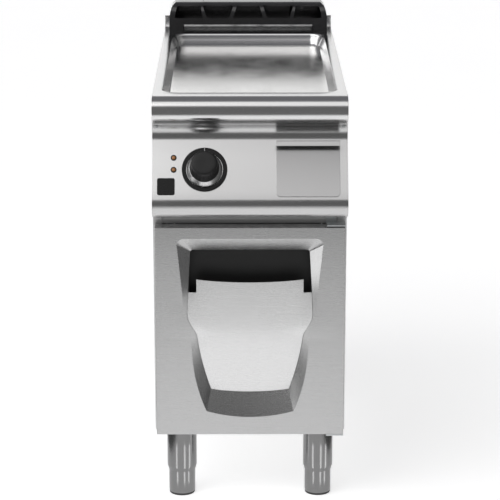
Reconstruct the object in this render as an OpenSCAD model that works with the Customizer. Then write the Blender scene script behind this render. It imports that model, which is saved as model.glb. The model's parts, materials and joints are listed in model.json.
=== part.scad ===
// Free-standing electric flat top griddle on a cabinet base, one catering module wide.
// Millimetres. X to the right, -Y to the front, +Z up. The origin is on the floor, below
// the middle of the unit's width and depth.

/* [Overall] */
// Width of the module
body_w = 400; // [360:5:520]
// Depth from the front of the knob to the rear edge
body_d = 948; // [820:4:1100]
// Height of the worktop above the floor
worktop_h = 870; // [820:5:950]
// Height of the cabinet's underside above the floor
leg_h = 150; // [120:5:180]

/* [Worktop] */
// Thickness of the worktop sheet
top_t = 2; // [1.5:0.5:3]
// Height of the rounded front edge and the side skirts
nose_h = 59; // [56:1:62]
// Radius over the top of the front edge
nose_top_r = 28; // [22:1:30]
// Radius under the front edge
nose_under_r = 22; // [18:1:24]
// Slope below the front edge, down and back, in degrees
nose_slope = 40; // [36:1:44]
// Distance from the front edge to the cooking well
well_front = 66; // [55:1:90]
// Length of the cooking well at its rim
well_l = 715; // [500:5:730]
// Width of the rim at each side of the well
well_side = 22; // [18:1:35]
// Depth of the well
well_depth = 28; // [20:1:34]
// Corner radius of the well at its rim
well_r = 34; // [25:1:50]
// How far the well's walls lean in on their way down
well_lean = 9; // [4:1:14]
// Height of the rear upstand
upstand_h = 27; // [15:1:40]
// Depth of the folded rear upstand
upstand_d = 8; // [5:1:12]

/* [Griddle] */
// Thickness of the cooking plate
plate_t = 18; // [12:1:22]
// Radius of the fat drain
drain_r = 20; // [14:1:24]
// Radius of the heating element tube
element_r = 4; // [3:0.5:5]
// Number of hairpin elements side by side
element_count = 3; // [2:1:4]
// Bend radius of each hairpin element
element_bend = 24; // [14:1:26]
// Thickness of the insulation under the elements
insulation_t = 26; // [15:1:32]

/* [Flue hood] */
// Width of the hood at its feet
hood_w = 374; // [300:1:380]
// Height of the hood above the worktop
hood_h = 68; // [55:1:90]
// Depth of the hood
hood_d = 74; // [60:1:76]
// Wall of the casting
hood_t = 5; // [4:0.5:7]
// Width of each foot at the hood's front, left and right of the opening between them
hood_foot_w = 24; // [18:1:34]
// Number of vent windows
window_count = 5; // [3:1:7]
// Width of the ribs between the windows
rib_w = 11; // [8:0.5:14]

/* [Control panel] */
// Sheet thickness of the panel
panel_t = 1.5; // [1:0.25:2]
// Radius of the hollow between the front edge and the panel
cove_r = 26; // [22:1:28]
// Length of the flat face along its slope
panel_flat = 125; // [118:1:128]
// Lean of the flat face from the vertical, in degrees
panel_tilt = 30; // [24:1:32]
// Radius of the lower lip
lip_r = 29; // [22:1:30]

/* [Dial] */
// Dial centre to the left of the middle
dial_x = 92.5; // [80:0.5:110]
// Outer radius of the dial's scale ring
bezel_r = 46.5; // [42:0.5:50]
// Radius of the knob's metal skirt
skirt_r = 36.5; // [33:0.5:38]
// Radius of the knob at its base
knob_r = 31; // [28:0.5:32]
// Radius of the knob at its cap
cap_r = 26; // [22:0.5:28]
// Height of the knob above the panel
knob_h = 48; // [35:1:55]
// Radius of the thermostat's spindle
spindle_r = 3; // [2.5:0.25:4]
// Radial clearance of every turning or sliding fit
run_gap = 0.05; // [0.02:0.01:0.1]
// Radius of an indicator lamp's bezel
lamp_r = 6; // [4.5:0.5:8]
// Distance between the lamps
lamp_pitch = 25.5; // [20:0.5:32]

/* [Drip drawer] */
// Width of the drawer's front
drawer_w = 130; // [115:1:135]
// Height of the drawer's front along the slope
drawer_front_h = 116; // [100:1:116]
// Projection of the folded handle
handle_out = 20; // [12:1:28]
// Length of the tray
tray_l = 230; // [180:5:260]
// Height of the tray
tray_h = 50; // [35:1:54]

/* [Cabinet] */
// Sheet thickness of the cabinet
sheet = 1.5; // [1:0.25:2]
// Thickness of the door
door_t = 32; // [26:1:36]
// How much narrower the door is than the body, at each side
door_inset = 4; // [3:0.5:8]
// Clearance behind the door
door_gap = 4; // [3.5:0.5:6]
// Radius of the hinge pins
hinge_r = 4; // [3:0.5:5]

/* [Legs] */
// Outer radius of the leg sleeves
sleeve_r = 31.5; // [28:0.5:34]
// Length of the leg sleeves
sleeve_l = 96; // [80:1:100]
// Outer radius of the adjustable legs
leg_r = 28; // [24:0.5:29]
// Distance of the legs from the middle, sideways
leg_x = 145; // [130:1:150]
// Thickness of the rubber foot
foot_t = 5; // [4:1:8]

/* [Hidden] */
$fn = 64;
eps = 0.01;        // overrun of a cut past the face it opens
seat = 0.3;        // gap between pieces that lie side by side
cap_bevel = 2;     // bevel round the knob's cap

// How far the knob's cap stands in front of the panel's lip
knob_out = (knob_h - panel_flat / 2 * tan(panel_tilt)) * cos(panel_tilt)
    + (cap_r - cap_bevel) * sin(panel_tilt) - lip_r * (1 - cos(panel_tilt));
lip_y = -body_d / 2 + knob_out;
seam = 0.8;                                // seam under the worktop

// Front line, set back from the nose: the slope under the nose meets the hollow at the seam,
// and the hollow runs tangent into the sloping face
nose_flat = 4;                             // upright part between the nose's two radii
under_drop = nose_top_r + nose_flat + nose_under_r * cos(nose_slope);
seam_back = nose_under_r * (1 - sin(nose_slope)) + (nose_h - under_drop) / tan(nose_slope);
cove_back = seam_back + seam * cos(nose_slope) - cove_r * sin(nose_slope);
face_back = cove_back + cove_r * cos(panel_tilt) - panel_flat * sin(panel_tilt);
nose_y = lip_y + lip_r * (1 - cos(panel_tilt)) - face_back;
rear_y = body_d / 2;
top_z = worktop_h;
skirt_z = top_z - nose_h;                  // underside of the worktop's skirts
side_top_z = skirt_z - seam;               // top of the cabinet's sides

// Cooking well, at its rim and at its foot
well_w = body_w - 2 * well_side;
well_y0 = nose_y + well_front;
well_y1 = well_y0 + well_l;
plate_z = top_z - well_depth;              // the cooking surface
plate_lap = 6;                             // how far the plate runs past the well's foot
plate_y0 = well_y0 + well_lean - plate_lap;
plate_y1 = well_y1 - well_lean + plate_lap;
plate_w = well_w - 2 * well_lean + 2 * plate_lap;
under_z = plate_z - plate_t;

// Hollow, and the sloping flat face whose lower edge runs tangent into the lip
cove_top = skirt_z - seam * sin(nose_slope);
cove_cy = nose_y + cove_back;
cove_cz = cove_top - cove_r * cos(nose_slope);
face_y1 = cove_cy + cove_r * cos(panel_tilt);
face_z1 = cove_cz - cove_r * sin(panel_tilt);
face_y0 = face_y1 - panel_flat * sin(panel_tilt);
face_z0 = face_z1 - panel_flat * cos(panel_tilt);
lip_cy = lip_y + lip_r;
lip_cz = face_z0 - lip_r * sin(panel_tilt);
lip_z = lip_cz - lip_r;

// Cabinet
door_y = nose_y - 5;                       // the door's front face
door_back = door_y + door_t;
cab_y = door_back + door_gap;              // front of the cabinet
side_y = cove_cy + cove_r + panel_t + 1;   // front of its sides, behind the panel
door_w = body_w - 2 * door_inset;
door_z0 = leg_h + 2;
door_z1 = lip_z - 25;
shelf_z = face_z0 + 16;                    // top face of the service shelf
pivot_x = door_w / 2 - 8;
pivot_y = door_y + door_t / 2;
bush_r = hinge_r + 1.5;
bracket_t = 3;

// Drain and drip drawer
drawer_x = body_w / 2 - 16.5 - drawer_w / 2;
drain_y = plate_y0 + 12 + drain_r;
chute_t = 1.5;
tray_w = drawer_w - 16;
tray_z = shelf_z + 4;
tray_y0 = face_y0 + (tray_z - face_z0) * tan(panel_tilt) + 4;
handle_h = 12;

// Elements lie behind the drain
element_y0 = drain_y + drain_r + 14;
element_y1 = plate_y1 - 12;
element_z = under_z - element_r;
element_pitch = (plate_w - 2 * element_bend - 2 * element_r - 20) / max(1, element_count - 1);
clamp_t = 3;
clamp_z = under_z - 2 * element_r - clamp_t;
tray_sheet_z = clamp_z - insulation_t - 2;
stud_r = 3;
stud_xs = [for (i = [0 : element_count - 1]) (i - (element_count - 1) / 2) * element_pitch];
stud_ys = [element_y0 + 60, (element_y0 + element_y1) / 2, element_y1 - 90];

// Legs
leg_front_y = cab_y + sleeve_r - 4;
leg_rear_y = rear_y - sleeve_r - 40;
leg_top_z = leg_h - 8;

// Shield pressed into the door: a sheet bowed about a level axis, flush with the door
// at its crest and set back above and below it
door_sheet = 1.5;
crest_z = door_z0 + 238;
bow_r = 505;
pocket_top = crest_z + 187;                // upper edge of the pressing
pocket_hw = 152;                           // half width at the top of the pressing
pocket_corner = 16;
waist_hw = 134;                            // half width where the upper bevels run out
shield_hw = 123;                           // half width just below the crest
shield_drop = 186;                         // crest to the lower corners
shield_pinch = 32;                         // how much the lower outline draws in
shield_sag = 13;                           // bow of the lower edge
grip_top = crest_z + 159;                  // upper edge of the hand opening
grip_hw = 123;
tab_top = crest_z + 100;                   // top corners of the shield's free edge
tab_hw = 111;
tab_dip = 6;                               // how far the free edge dips in the middle
slot_z = crest_z + 72;                     // lower end of the slots beside the tab
pan_z = crest_z + 60;
pan_d = door_t + 12;                       // the hand pocket reaches behind the door
pan_t = 1;

// Turns a local frame onto the middle of the sloping face: local Z leaves the face,
// local Y runs up the slope
module on_face(x, up) {
    translate([x, (face_y0 + face_y1) / 2, (face_z0 + face_z1) / 2])
        rotate([90 - panel_tilt, 0, 0])
            translate([0, up, 0]) children();
}

// Extrudes an outline drawn as (y, z) along X, centred on x
module along_x(width, x = 0)
    translate([x - width / 2, 0, 0])
        rotate([90, 0, 90]) linear_extrude(width) children();

// Extrudes an outline drawn as (x, z) backwards from y
module along_y(length, y)
    translate([0, y + length, 0])
        rotate([90, 0, 0]) linear_extrude(length) children();

function arc(cx, cy, r, a0, a1, n = 16) =
    [for (i = [0 : n]) [cx + r * cos(a0 + (a1 - a0) * i / n), cy + r * sin(a0 + (a1 - a0) * i / n)]];

module round_box(x0, x1, y0, y1, z0, z1, r)
    translate([0, 0, z0]) linear_extrude(z1 - z0)
        union() {
            translate([x0 + r, y0]) square([x1 - x0 - 2 * r, y1 - y0]);
            translate([x0, y0 + r]) square([x1 - x0, y1 - y0 - 2 * r]);
            for (x = [x0 + r, x1 - r], y = [y0 + r, y1 - r]) translate([x, y]) circle(r);
        }

module block(x0, x1, y0, y1, z0, z1)
    translate([x0, y0, z0]) cube([x1 - x0, y1 - y0, z1 - z0]);

module rod(p, r, l, axis = "z")
    translate(p) rotate(axis == "x" ? [0, 90, 0] : axis == "y" ? [-90, 0, 0] : [0, 0, 0])
        cylinder(r = r, h = l);

// ---- Worktop, plate and what heats it

// Point along mm further down the slope than the seam, and deep mm inside its face
function seam_point(along, deep) =
    [nose_y + seam_back + along * cos(nose_slope) + deep * sin(nose_slope),
        skirt_z - along * sin(nose_slope) + deep * cos(nose_slope)];

function nose_arcs(t) = concat(
    arc(nose_y + nose_top_r, top_z - nose_top_r, nose_top_r - t, 90, 180),
    arc(nose_y + nose_under_r, top_z - nose_top_r - nose_flat, nose_under_r - t, 180,
        270 - nose_slope));

// Outer face of the folded sheet as (y, z), squared off at the seam
module top_outline()
    polygon(concat(nose_arcs(0), [seam_point(0, 0), seam_point(0, tongue_d),
        seam_point(tongue_d / tan(nose_slope), tongue_d), [rear_y, skirt_z], [rear_y, top_z]]));

// Inner face, run on past the seam so that the sheet is open below
module top_hollow() {
    run_on = 8;
    polygon(concat(nose_arcs(top_t), [seam_point(run_on, top_t),
        [rear_y - top_t, skirt_z - run_on * sin(nose_slope)],
        [rear_y - top_t, top_z - top_t]]));
}

// Stepped flange that carries the slope on behind the panel, for the panel's screws
tongue_l = 12;
tongue_d = panel_t + seat;
module tongue_outline()
    polygon([seam_point(-6, top_t / 2), seam_point(-4, tongue_d + top_t),
        seam_point(tongue_l, tongue_d + top_t), seam_point(tongue_l, tongue_d),
        seam_point(-1, tongue_d), seam_point(-1, top_t / 2)]);

// Tapered cup of the well; grow swells it sideways by a sheet's thickness
module well_cup(grow) {
    foot_r = well_r - well_lean;
    hull()
        for (sx = [-1, 1], y = [well_y0 + well_r, well_y1 - well_r])
            translate([sx * (well_w / 2 - well_r), y, plate_z])
                cylinder(r1 = foot_r + grow, r2 = well_r + grow, h = well_depth, $fn = 48);
}

module worktop() color("silver") {
    difference() {
        union() {
            difference() {
                along_x(body_w) top_outline();
                along_x(body_w - 2 * top_t) top_hollow();
            }
            difference() {
                along_x(body_w - 2 * sheet - 2) tongue_outline();
                for (sx = [-1, 1]) panel_screw_way(sx, screw_r + 0.2);
            }
            well_cup(top_t);
        }
        well_cup(0);
        translate([0, 0, top_z - 1])
            round_box(-well_w / 2, well_w / 2, well_y0, well_y1, 0, 2, well_r);
    }
    difference() {
        block(-body_w / 2, body_w / 2, rear_y - upstand_d, rear_y, top_z, top_z + upstand_h);
        for (sx = [-1, 1])
            rod([sx * (body_w / 2 - 7), rear_y - upstand_d - 1, top_z + upstand_h - 8], 2,
                upstand_d + 2, "y");
    }
}

module griddle_plate() color("lightgray") difference() {
    round_box(-plate_w / 2, plate_w / 2, plate_y0, plate_y1, under_z, plate_z, well_r - 4);
    rod([drawer_x, drain_y, under_z - 1], drain_r, plate_t + 2);
    for (x = stud_xs, y = stud_ys)
        rod([x, y, under_z - 1], stud_r, 9);
}

module heating_elements() color("dimgray")
    for (x = stud_xs) {
        for (sx = [-1, 1])
            rod([x + sx * element_bend, element_y0, element_z], element_r,
                element_y1 - element_bend - element_y0, "y");
        translate([x, element_y1 - element_bend, element_z])
            rotate_extrude(angle = 180) translate([element_bend, 0]) circle(element_r);
        for (sx = [-1, 1])
            rod([x + sx * element_bend, element_y0 - 8, element_z], element_r - 2, 9, "y");
    }

module element_clamp() color("gainsboro") difference() {
    block(-plate_w / 2 + 4, plate_w / 2 - 4, element_y0 + 20, element_y1 - 20, clamp_z,
        clamp_z + clamp_t);
    for (x = stud_xs, y = stud_ys) rod([x, y, clamp_z - 1], stud_r + 0.5, clamp_t + 2);
}

// Studs screwed into the plate, each with its nut below the clamp
module clamp_studs() color("darkgray")
    for (x = stud_xs, y = stud_ys) {
        rod([x, y, clamp_z - 9], stud_r, under_z + 8 - clamp_z + 9);
        translate([x, y, clamp_z - 5]) cylinder(r = 5.5, h = 5, $fn = 6);
    }

module insulation_board() color("khaki") difference() {
    block(-plate_w / 2 + 6, plate_w / 2 - 6, element_y0 + 22, element_y1 - 22, tray_sheet_z + 1,
        clamp_z - 1);
    for (x = stud_xs, y = stud_ys) rod([x, y, clamp_z - 11], 8, 12);
}

// Sheet tray that carries the insulation, hung from the worktop's side skirts
module insulation_tray() color("gainsboro") difference() {
    block(-body_w / 2 + top_t, body_w / 2 - top_t, element_y0 + 16, element_y1 - 16,
        tray_sheet_z - sheet + 1, skirt_z + 12);
    block(-body_w / 2 + top_t + sheet, body_w / 2 - top_t - sheet, element_y0 + 15,
        element_y1 - 15, tray_sheet_z + 1, skirt_z + 13);
}

module drain_chute() color("silver") difference() {
    rod([drawer_x, drain_y, tray_z + tray_h + 4], drain_r + chute_t, under_z - tray_z - tray_h - 4);
    rod([drawer_x, drain_y, tray_z + tray_h + 3], drain_r, under_z - tray_z - tray_h);
}

// ---- Control panel

// Front sheet as (y, z): hollow, flat face, lip and its return
module panel_outline()
    polygon(concat(
        arc(cove_cy, cove_cz, cove_r, 90 - nose_slope, -panel_tilt),
        arc(lip_cy, lip_cz, lip_r, 180 - panel_tilt, 270),
        [[cab_y - 1, lip_z], [cab_y - 1, lip_z + panel_t]],
        arc(lip_cy, lip_cz, lip_r - panel_t, 270, 180 - panel_tilt),
        arc(cove_cy, cove_cz, cove_r + panel_t, -panel_tilt, 90 - nose_slope)));

// End cheek that closes the panel between its front and the cabinet's side
module panel_cheek()
    polygon(concat(
        [[side_y - 0.2, cove_cz + (cove_r + panel_t / 2) * sin(86 - nose_slope)]],
        arc(cove_cy, cove_cz, cove_r + panel_t / 2, 86 - nose_slope, -panel_tilt),
        arc(lip_cy, lip_cz, lip_r - panel_t / 2, 180 - panel_tilt, 270),
        [[side_y - 0.2, lip_z + panel_t / 2]]));

module control_panel() color("gainsboro") difference() {
    union() {
        along_x(body_w) panel_outline();
        for (sx = [-1, 1])
            along_x(sheet, sx * (body_w - sheet) / 2) panel_cheek();
    }
    on_face(-dial_x, 0) translate([0, 0, -5]) cylinder(r = spindle_r + 2, h = 10);
    for (s = [-1, 1])
        on_face(-lamp_x, lamp_up + s * lamp_pitch / 2)
            translate([0, 0, -5]) cylinder(r = lamp_r - 1.5, h = 10);
    block(drawer_x - tray_w / 2 - 3, drawer_x + tray_w / 2 + 3, face_y0 - 20, face_y1 + 20,
        tray_z - 2, tray_z + tray_h + 3);
    for (sx = [-1, 1]) panel_screw_way(sx, screw_r + 0.2);
}

// Screws square to the top of the hollow, into the worktop's stepped flange
screw_x = body_w / 2 - 9;
screw_r = 2;
screw_head = 3.5;
screw_head_t = 1.6;
screw_at = 80 - nose_slope;                // where each sits round the hollow, in degrees
screw_seat = sqrt(pow(cove_r, 2) - pow(screw_head, 2)) - 0.1;   // where its head bears

// Turns local Z along a screw, out of the hollow's centre and through the sheets
module panel_screw_frame(sx)
    translate([sx * screw_x, cove_cy, cove_cz]) rotate([screw_at - 90, 0, 0]) children();

module panel_screw_way(sx, r)
    panel_screw_frame(sx) translate([0, 0, cove_r - 3]) cylinder(r = r, h = 16);

module panel_screws() color("silver")
    for (sx = [-1, 1])
        panel_screw_frame(sx) {
            translate([0, 0, screw_seat - screw_head_t]) cylinder(r = screw_head, h = screw_head_t);
            translate([0, 0, screw_seat - 0.4]) cylinder(r = screw_r, h = 9);
        }

module dial_bezel() color("black") on_face(-dial_x, 0) difference() {
    cylinder(r = bezel_r, h = 3, $fn = 96);
    translate([0, 0, -1]) cylinder(r = skirt_r + 1, h = 5, $fn = 96);
}

module thermostat() color("dimgray") on_face(-dial_x, 0) difference() {
    union() {
        translate([-24, -22, -36]) cube([48, 44, 36 - panel_t]);
        translate([0, 0, -panel_t]) cylinder(r = spindle_r + 2 - seat, h = panel_t);
    }
    translate([0, 0, -24]) cylinder(r = spindle_r + run_gap, h = 30);
}

// Sensing bulb under the plate and the thin tube back to the thermostat
bulb_x = (element_count > 1 ? stud_xs[0] + element_pitch / 2 : element_bend / 2);
module thermostat_bulb() color("chocolate") {
    rod([bulb_x, element_y0 + 30, under_z - 3], 3, 110, "y");
    tube_run([[bulb_x, element_y0 + 31, under_z - 3], [bulb_x, element_y0 - 4, under_z - 3],
        [-dial_x, element_y0 - 14, under_z - 40], [-dial_x, face_y1 + 30, shelf_z + 30],
        [-dial_x, (face_y0 + face_y1) / 2 + 37.5 * cos(panel_tilt),
            (face_z0 + face_z1) / 2 - 37.5 * sin(panel_tilt)]]);
}

// Chain of round rods through a list of points
module tube_run(points, r = 1)
    for (i = [0 : len(points) - 2]) {
        d = points[i + 1] - points[i];
        translate(points[i]) rotate([0, acos(d.z / norm(d)), atan2(d.y, d.x)])
            cylinder(r = r, h = norm(d));
        translate(points[i + 1]) sphere(r * 1.2);
    }

lamp_x = 155.5;
lamp_up = 12.5;
module lamp_bezels() color("black")
    for (s = [-1, 1])
        on_face(-lamp_x, lamp_up + s * lamp_pitch / 2) difference() {
            union() {
                cylinder(r = lamp_r, h = 2);
                translate([0, 0, -22]) cylinder(r = lamp_r - 1.5 - seat, h = 22);
            }
            translate([0, 0, 0.5]) cylinder(r = lamp_r - 2, h = 4);
        }

module lamp_lenses() color("darkorange")
    for (s = [-1, 1])
        on_face(-lamp_x, lamp_up + s * lamp_pitch / 2)
            translate([0, 0, 0.5]) cylinder(r = lamp_r - 2, h = 2.5);

badge = 36;
module badge_plate() color("black")
    on_face(-(body_w / 2 - 29), -36) translate([0, 0, 0])
        round_box(-badge / 2, badge / 2, -badge / 2, badge / 2, 0, 1.2, 3);

// ---- Knob, which turns with the thermostat's spindle

module knob() color("black") on_face(-dial_x, 0) difference() {
    union() {
        translate([0, 0, 14]) cylinder(r1 = knob_r, r2 = cap_r + 1, h = knob_h - 18);
        translate([0, 0, knob_h - 4]) cylinder(r1 = cap_r + 1, r2 = cap_r - cap_bevel, h = 4);
    }
    cylinder(r = spindle_r, h = 34);
}

module knob_skirt() color("silver") on_face(-dial_x, 0) difference() {
    translate([0, 0, 1]) cylinder(r1 = skirt_r, r2 = knob_r, h = 13);
    cylinder(r = spindle_r, h = 20);
}

module spindle() color("gray") on_face(-dial_x, 0)
    translate([0, 0, -22]) cylinder(r = spindle_r, h = 22 + 34);

// ---- Drip drawer

module drip_tray() color("silver") difference() {
    block(drawer_x - tray_w / 2, drawer_x + tray_w / 2, tray_y0, tray_y0 + tray_l, tray_z,
        tray_z + tray_h);
    block(drawer_x - tray_w / 2 + 1, drawer_x + tray_w / 2 - 1, tray_y0 - 60,
        tray_y0 + tray_l - 1, tray_z + 1, tray_z + tray_h + 1);
    on_face(drawer_x, 0) translate([-tray_w, -200, -seat]) cube([2 * tray_w, 400, 60]);
}

// Folded front: a sloping plate with a handle turned out along its top edge
module drawer_front() color("gainsboro") on_face(drawer_x, 0) {
    difference() {
        round_box(-drawer_w / 2, drawer_w / 2, -drawer_front_h / 2, drawer_front_h / 2, 0.5,
            2, 4);
        translate([-drawer_w, drawer_front_h / 2 - 2, -1]) cube([2 * drawer_w, 3, 5]);
    }
    translate([-drawer_w / 2, drawer_front_h / 2 - 3.5, 0.5])
        cube([drawer_w, 1.5, handle_out]);
    translate([-drawer_w / 2, drawer_front_h / 2 - 2 - handle_h, handle_out - 1])
        cube([drawer_w, handle_h, 1.5]);
    translate([-tray_w / 2, -38, -seat]) cube([tray_w, 20, 0.5 + seat]);
}

module drawer_guides() color("silver")
    for (sx = [-1, 1]) {
        x = drawer_x + sx * (tray_w / 2 + 2);
        block(x - 1, x + 1, cab_y + 12, cab_y + 12 + tray_l - 20, shelf_z, tray_z + 24);
        block(x - (sx > 0 ? 12 : -1), x + (sx > 0 ? -1 : 12), cab_y + 12,
            cab_y + 12 + tray_l - 20, shelf_z, tray_z - seat);
    }

// ---- Cabinet

module side_panel(sx) color("lightgray") {
    x1 = sx * body_w / 2;
    x0 = x1 - sx * sheet;
    block(min(x0, x1), max(x0, x1), cab_y, rear_y, leg_h, lip_z - 0.5);
    block(min(x0, x1), max(x0, x1), side_y, rear_y, leg_h, side_top_z);
    // Front and rear edges turn inwards
    for (y = [cab_y, rear_y - sheet])
        block(min(x1, x1 - sx * 18), max(x1, x1 - sx * 18), y, y + sheet, leg_h,
            y == cab_y ? lip_z - 4 : side_top_z);
}
module side_panel_left() side_panel(-1);
module side_panel_right() side_panel(1);

gland_x = body_w / 2 - 60;
gland_z = leg_h + 60;
gland_bore = 7;
earth_x = leg_x - sleeve_r - 23.5;         // beside the right-hand rear leg
earth_y = rear_y - 90;
module back_panel() color("lightgray") difference() {
    block(-body_w / 2 + 19, body_w / 2 - 19, rear_y - 2 * sheet, rear_y - sheet, leg_h + sheet,
        side_top_z);
    rod([gland_x, rear_y - 10, gland_z], gland_bore + 4, 12, "y");
    for (row = [0 : 4])
        round_box(-110, 50, rear_y - 10, rear_y + 2, side_top_z - 60 - row * 12,
            side_top_z - 56 - row * 12, 0.01);
}

module cabinet_floor() color("lightgray") difference() {
    union() {
        block(-body_w / 2 + sheet, body_w / 2 - sheet, cab_y + sheet, rear_y - 2 * sheet, leg_h,
            leg_h + sheet);
        block(-body_w / 2 + 19, body_w / 2 - 19, cab_y, cab_y + sheet, leg_h, leg_h + 22);
    }
    rod([earth_x, earth_y, leg_h - 1], 3.3, 4);
}

module service_shelf() color("gainsboro") {
    block(-body_w / 2 + sheet, body_w / 2 - sheet, cab_y + 6, rear_y - 2 * sheet - seat,
        shelf_z - sheet, shelf_z);
    block(-body_w / 2 + sheet, body_w / 2 - sheet, cab_y + 6, cab_y + 6 + sheet,
        lip_z + 2, shelf_z);
}

// Rail across the front, between the panel's lip and the door
rail_z = lip_z - 6;
module front_rail() color("gray") {
    block(-body_w / 2 + 19, body_w / 2 - 19, cab_y, cab_y + 16, rail_z - 18, rail_z - 16.5);
    block(-body_w / 2 + 19, body_w / 2 - 19, cab_y, cab_y + sheet, rail_z - 18, lip_z + 20);
    block(-body_w / 2 + 19, body_w / 2 - 19, cab_y, cab_y + 5.7, lip_z + 18.5, lip_z + 20);
}

module terminal_block() color("ivory") {
    block(-60, 60, rear_y - 70, rear_y - 40, shelf_z, shelf_z + 26);
    for (i = [0 : 4]) rod([-44 + 22 * i, rear_y - 55, shelf_z + 25], 4, 5);
}

module safety_thermostat() color("saddlebrown") {
    block(-150, -110, rear_y - 80, rear_y - 45, shelf_z, shelf_z + 34);
    rod([-130, rear_y - 62, shelf_z + 33], 7, 7);
}

module cable_gland() color("black") difference() {
    union() {
        rod([gland_x, rear_y - 24, gland_z], gland_bore + 4, 24 - sheet, "y");
        translate([gland_x, rear_y - 14, gland_z]) rotate([-90, 0, 0])
            cylinder(r = 15, h = 14 - 2 * sheet, $fn = 6);
        translate([gland_x, rear_y - sheet, gland_z]) rotate([-90, 0, 0])
            cylinder(r = 15, h = sheet, $fn = 6);
    }
    rod([gland_x, rear_y - 25, gland_z], gland_bore, 30, "y");
}

// Bonding stud down through the cabinet's floor, with a nut on each side of the sheet
module earth_stud() color("goldenrod") {
    rod([earth_x, earth_y, leg_h - 18], 3, 18 + sheet + 7);
    for (z = [leg_h - 5, leg_h + sheet])
        translate([earth_x, earth_y, z]) cylinder(r = 6, h = 5, $fn = 6);
}

// ---- Door and its hinges

module hinge_bracket_upper() color("darkgray") {
    block(pivot_x - 30, pivot_x + 8, door_y + 4, cab_y, door_z1 + 1.5, door_z1 + 1.5 + bracket_t);
    block(pivot_x - 30, pivot_x - 10, cab_y - bracket_t, cab_y, door_z1 + 1.5, lip_z - 1);
    rod([pivot_x, pivot_y, door_z1 - 12], hinge_r, 13.5 + bracket_t);
    rod([pivot_x - 20, cab_y - bracket_t - 2, door_z1 + 12], 3, 2, "y");
}

module hinge_bracket_lower() color("darkgray") {
    block(pivot_x - 28, pivot_x + 8, door_y + 4, cab_y - 1, leg_h - bracket_t, leg_h);
    block(pivot_x - 8, pivot_x + 8, cab_y - 2, cab_y + 60, leg_h - bracket_t, leg_h);
    rod([pivot_x, pivot_y, leg_h - bracket_t - 3], hinge_r, 3 + bracket_t + 16);
}

module door_bushes() color("ivory")
    for (z = [door_z0, door_z1 - 10])
        difference() {
            rod([pivot_x, pivot_y, z], bush_r, 10);
            rod([pivot_x, pivot_y, z - 1], hinge_r + run_gap, 12);
        }

// Outline of the whole pressing, as (x, z)
function low_half(t) = shield_hw - shield_pinch * pow(t, 2.6);
function pressing_points() = concat(
    arc(pocket_hw - pocket_corner, pocket_top - pocket_corner, pocket_corner, 0, 90),
    arc(-pocket_hw + pocket_corner, pocket_top - pocket_corner, pocket_corner, 90, 180),
    [[-waist_hw, crest_z]],
    [for (i = [0 : 12]) [-low_half(i / 12), crest_z - shield_drop * i / 12]],
    [for (i = [1 : 11]) low_edge(-1 + 2 * i / 12)],
    [for (i = [12 : -1 : 0]) [low_half(i / 12), crest_z - shield_drop * i / 12]],
    [[waist_hw, crest_z]]);
function low_edge(u) = [u * low_half(1), crest_z - shield_drop - shield_sag * (1 - u * u)];

module pressing_outline() polygon(pressing_points());

// Hand opening: a window with a slot down each side of the shield's free edge
module grip_outline()
    polygon(concat(
        [[grip_hw, slot_z], [grip_hw, grip_top], [-grip_hw, grip_top], [-grip_hw, slot_z],
            [-tab_hw, slot_z]],
        [for (i = [0 : 12]) [-tab_hw + 2 * tab_hw * i / 12,
            tab_top - tab_dip * (1 - pow(2 * i / 12 - 1, 2))]],
        [[tab_hw, slot_z]]));

// Everything behind the bowed sheet's front, set deeper by d
module behind_bow(d, w = 360)
    translate([-w / 2, door_y + bow_r, crest_z]) rotate([0, 90, 0])
        cylinder(r = bow_r - d, h = w, $fn = 360);

module door_skin() color("lightgray") difference() {
    block(-door_w / 2, door_w / 2, door_y, door_back - 2, door_z0, door_z1);
    block(-door_w / 2 + door_sheet, door_w / 2 - door_sheet, door_y + door_sheet, door_back,
        door_z0 + door_sheet, door_z1 - door_sheet);
    along_y(20, door_y - 5) pressing_outline();
    for (z = [door_z0 - 1, door_z1 - 3]) rod([pivot_x, pivot_y, z], bush_r, 4);
}

module door_liner() color("silver") difference() {
    block(-door_w / 2, door_w / 2, door_back - 2, door_back, door_z0, door_z1);
    block(-pan_hw - seat, pan_hw + seat, door_y, door_back + 1, pan_z - seat,
        pan_top + seat);
}

// Pressed shield with the walls that join it to the skin's opening
module door_shield() color("gainsboro") difference() {
    along_y(door_t - 4, door_y) pressing_outline();
    intersection() {
        behind_bow(door_sheet);
        block(-200, 200, door_y - 1, door_back, door_z0, door_z1);
    }
    difference() {
        along_y(60, door_y - 20) scale_outline(door_sheet);
        behind_bow(0);
    }
    along_y(60, door_y - 20) grip_outline();
}

// The pressing's outline, smaller by t all round
module scale_outline(t)
    intersection() {
        translate([t, t]) pressing_outline();
        translate([-t, t]) pressing_outline();
        translate([t, -t]) pressing_outline();
        translate([-t, -t]) pressing_outline();
    }

pan_hw = grip_hw + 4;
pan_top = grip_top + 3;
module pocket_pan() color("black") intersection() {
    difference() {
        block(-pan_hw, pan_hw, door_y + 2, door_y + pan_d, pan_z, pan_top);
        block(-pan_hw + pan_t, pan_hw - pan_t, door_y, door_y + pan_d - pan_t, pan_z + pan_t,
            pan_top - pan_t);
    }
    behind_bow(door_sheet + 0.2);
}

catch_z = door_z1 - 70;
module door_catch() color("white")
    block(-body_w / 2 + sheet, -body_w / 2 + 17, cab_y + sheet, cab_y + 24, catch_z - 20,
        catch_z + 20);

module door_strike() color("gray")
    block(-door_w / 2 + 4, -door_w / 2 + 24, door_back, door_back + 1.5, catch_z - 18,
        catch_z + 18);

// ---- Flue hood: one casting with slanted ribs between its windows

foot_h = 17;
band_h = 13;
hood_y = rear_y - upstand_d - 1 - hood_d;
hood_taper = 12;

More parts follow.
